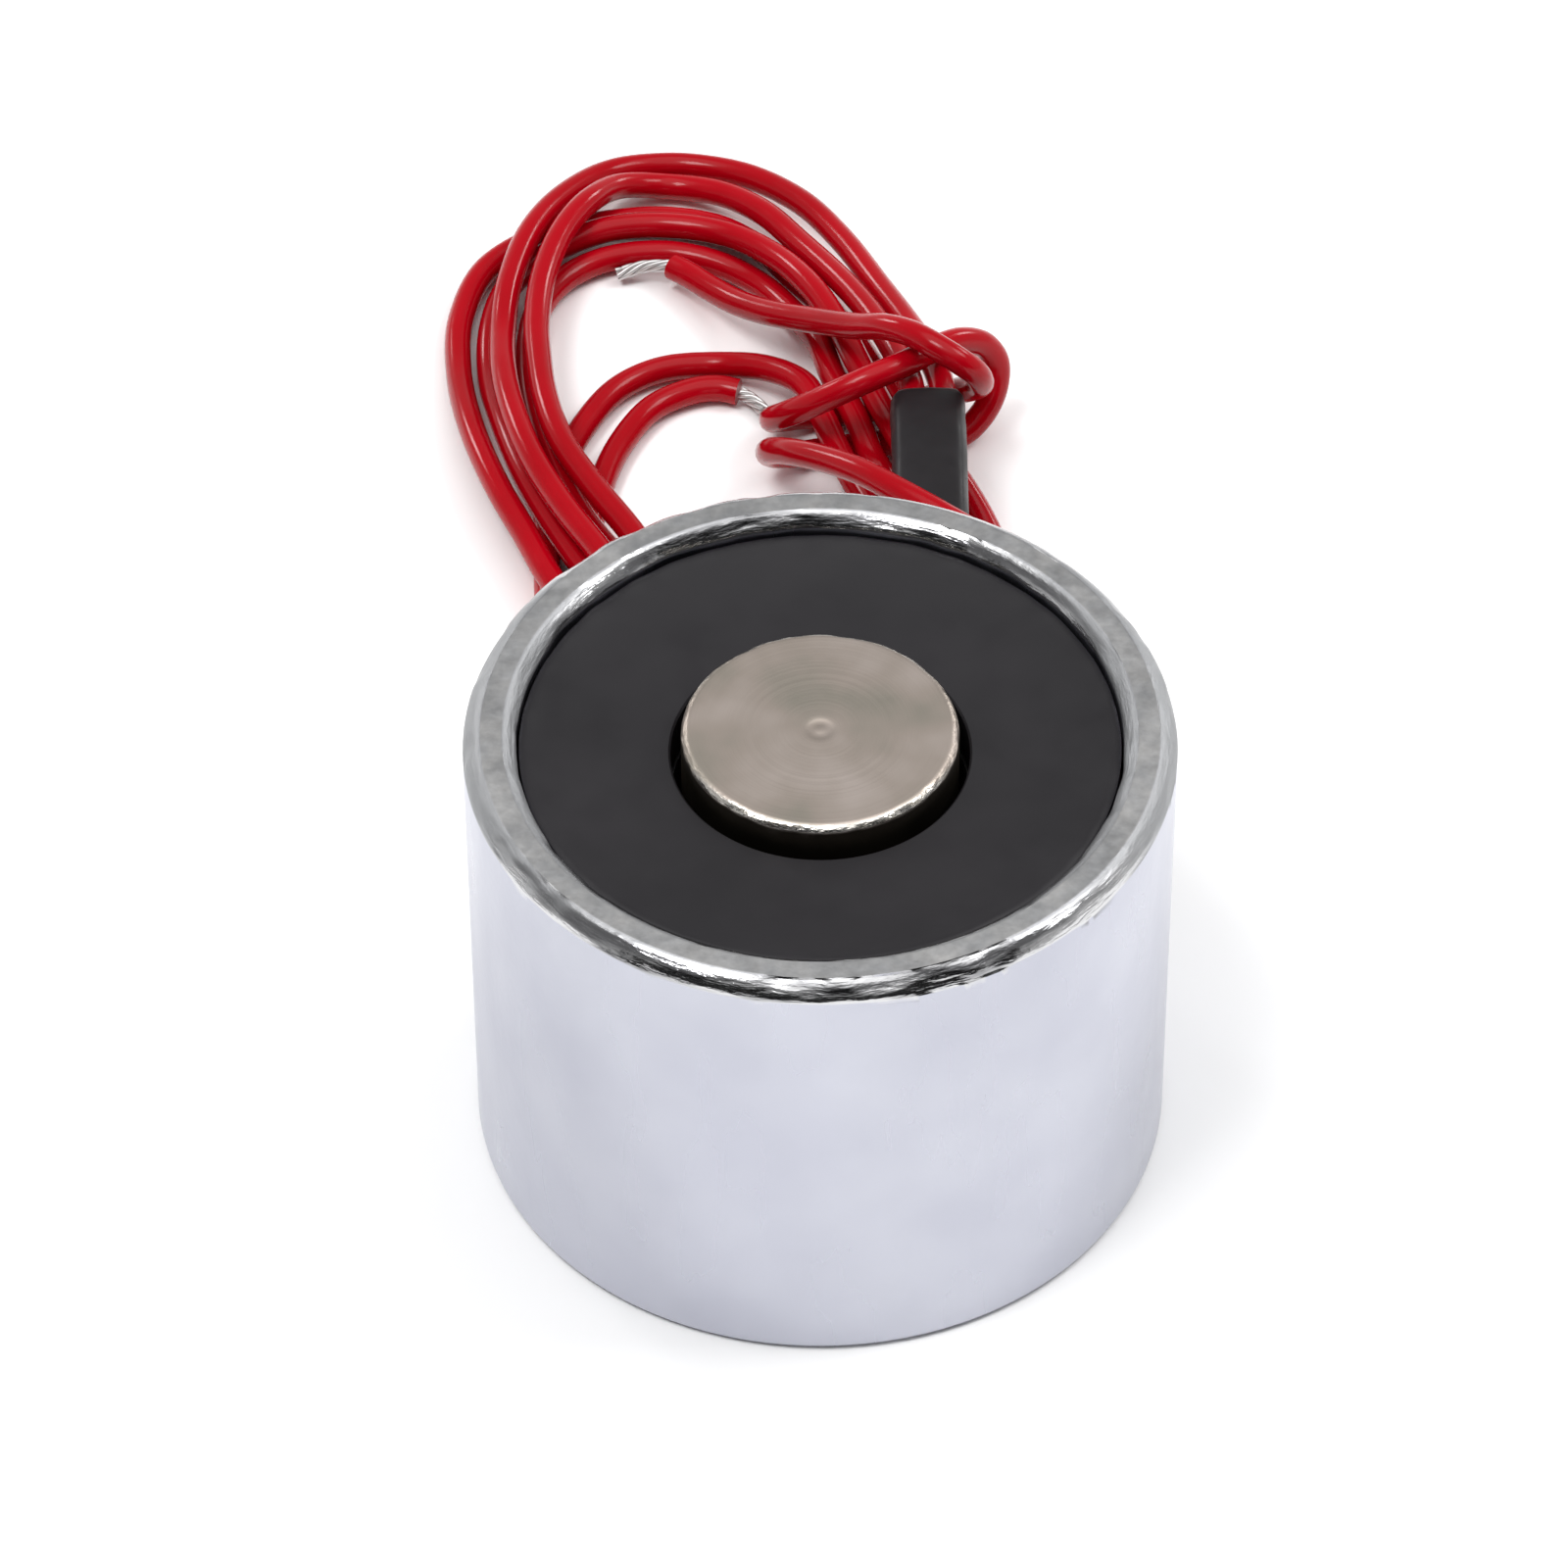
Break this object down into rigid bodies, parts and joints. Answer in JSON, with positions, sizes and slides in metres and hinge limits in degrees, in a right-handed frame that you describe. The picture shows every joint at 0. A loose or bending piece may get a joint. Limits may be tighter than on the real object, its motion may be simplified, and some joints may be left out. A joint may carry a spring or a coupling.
{
  "type": "holding electromagnet",
  "caption": "Round pot holding electromagnet with a flat pole face, resin-cast winding, sleeved side lead exit and flexible leads tied in loops.",
  "frame": {"origin": "centre of the pot's flat back, at the surface that it stands on", "axes": "+Z along the pot's axis, from its back to its pole face; +Y towards the side where the leads leave; +X to the right"},
  "size_m": [0.0219, 0.0507, 0.015],
  "materials": {
    "plated_steel": "bright zinc plating, fine turned grain",
    "core_steel": "satin nickel plating",
    "resin": "cast epoxy, satin",
    "bobbin_nylon": "moulded",
    "winding_copper": "enamelled copper wire",
    "tape": "polyester film",
    "solder": "soft solder",
    "sleeve": "shrunk polyolefin",
    "lead_insulation": "soft PVC",
    "tinned_strands": "tinned copper strands"
  },
  "bodies": {
    "root": {"cup": "plated_steel", "core": "core_steel", "potting": "resin", "bobbin": "bobbin_nylon", "winding": "winding_copper", "winding_tape": "tape", "start_tail": "winding_copper", "finish_tail": "winding_copper", "joint_a": "solder", "joint_b": "solder", "lead_sleeve": "sleeve", "lead_a": "lead_insulation", "lead_b": "lead_insulation", "tinned_end_a": "tinned_strands", "tinned_end_b": "tinned_strands"}
  },
  "joints": []
}
